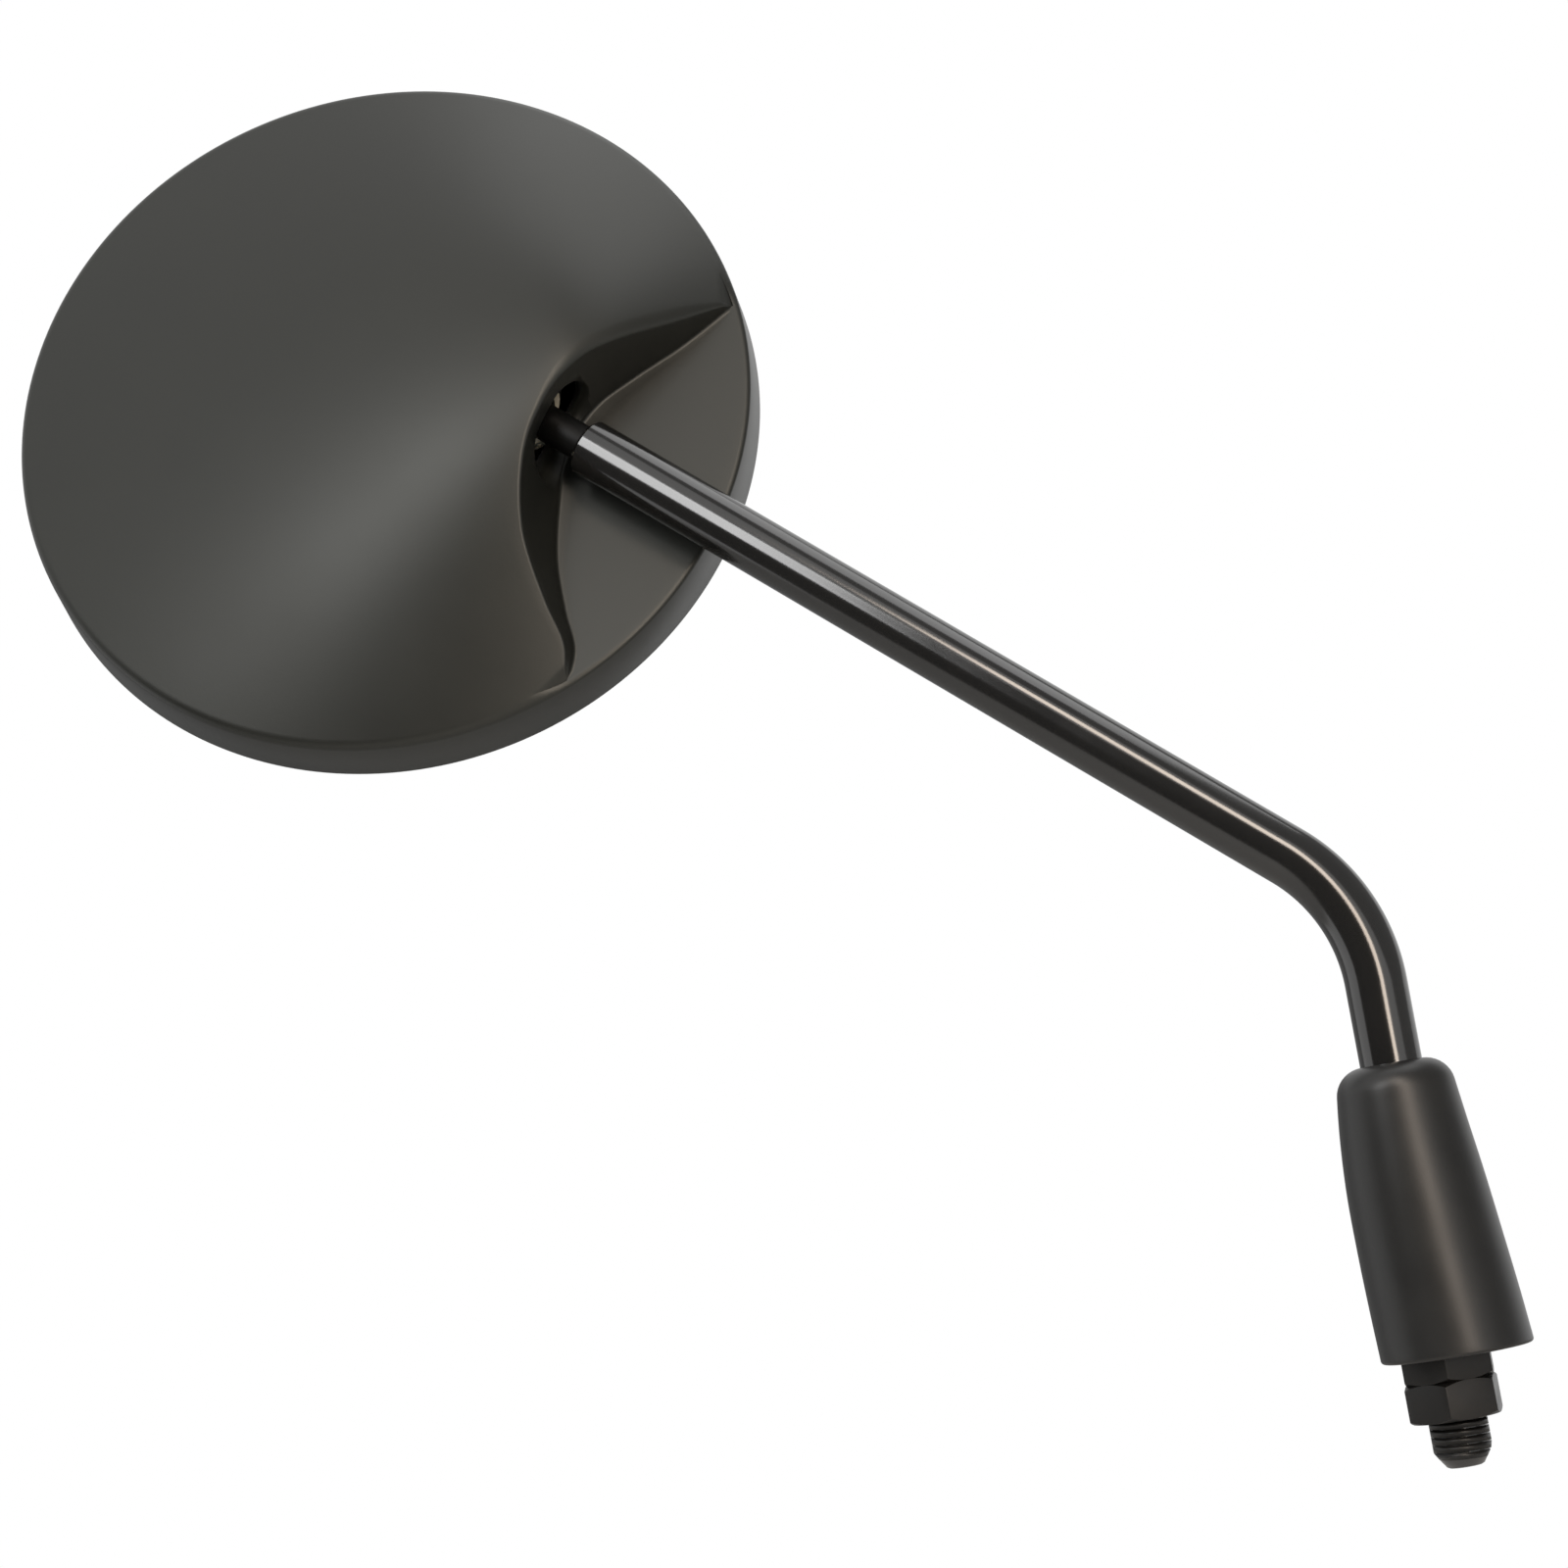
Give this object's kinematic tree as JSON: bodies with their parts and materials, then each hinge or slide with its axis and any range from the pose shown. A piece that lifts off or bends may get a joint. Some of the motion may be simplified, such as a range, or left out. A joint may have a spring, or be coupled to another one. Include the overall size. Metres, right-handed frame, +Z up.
{
  "type": "motorcycle mirror",
  "caption": "Round rear-view mirror with a domed, scooped back on a bent steel rod, with a ball joint, a rubber boot and a threaded stud with lock nuts.",
  "frame": {"origin": "centre of the lock nut's lower face, on the stud's axis", "axes": "+Z up the stud, away from the handlebar perch; the rod bends toward -X; the moulded back of the head looks toward -Y and the glass toward +Y"},
  "size_m": [0.2386, 0.0624, 0.273],
  "materials": {
    "black_steel": "gloss black",
    "nut_steel": "black oxide",
    "boot_rubber": "satin moulded",
    "bare_steel": "zinc plated",
    "liner_nylon": "natural",
    "housing_plastic": "fine grain",
    "gasket_foam": "closed-cell foam",
    "silvered_glass": "polished"
  },
  "bodies": {
    "stem": {"stem": "black_steel", "lock_nut": "nut_steel", "jam_nut": "nut_steel"},
    "boot": {"rubber_boot": "boot_rubber"},
    "ball": {"ball_stud": "bare_steel"},
    "liner": {"ball_liner": "liner_nylon"},
    "head": {"housing": "housing_plastic", "ball_clamp": "bare_steel", "clamp_screws": "bare_steel", "glass_gasket": "gasket_foam", "mirror_glass": "silvered_glass", "glass_bezel": "housing_plastic"}
  },
  "joints": [
    {"name": "boot_slide", "type": "slide", "parent": "stem", "child": "boot", "axis": [0, 0, 1], "range_m": [0, 0.012]},
    {"name": "head_spin", "type": "hinge", "parent": "stem", "child": "ball", "pos_m": [-0.13032, 0, 0.196], "axis": [0.7581, 0, -0.6521], "continuous": true},
    {"name": "head_tilt", "type": "hinge", "parent": "ball", "child": "liner", "pos_m": [-0.13032, 0, 0.196], "axis": [0.5985, 0.3971, 0.6958], "range_deg": [-2.5, 15]},
    {"name": "head_swing", "type": "hinge", "parent": "liner", "child": "head", "pos_m": [-0.13032, 0, 0.196], "axis": [0.259, -0.9178, 0.3011], "range_deg": [-18, 10]}
  ]
}
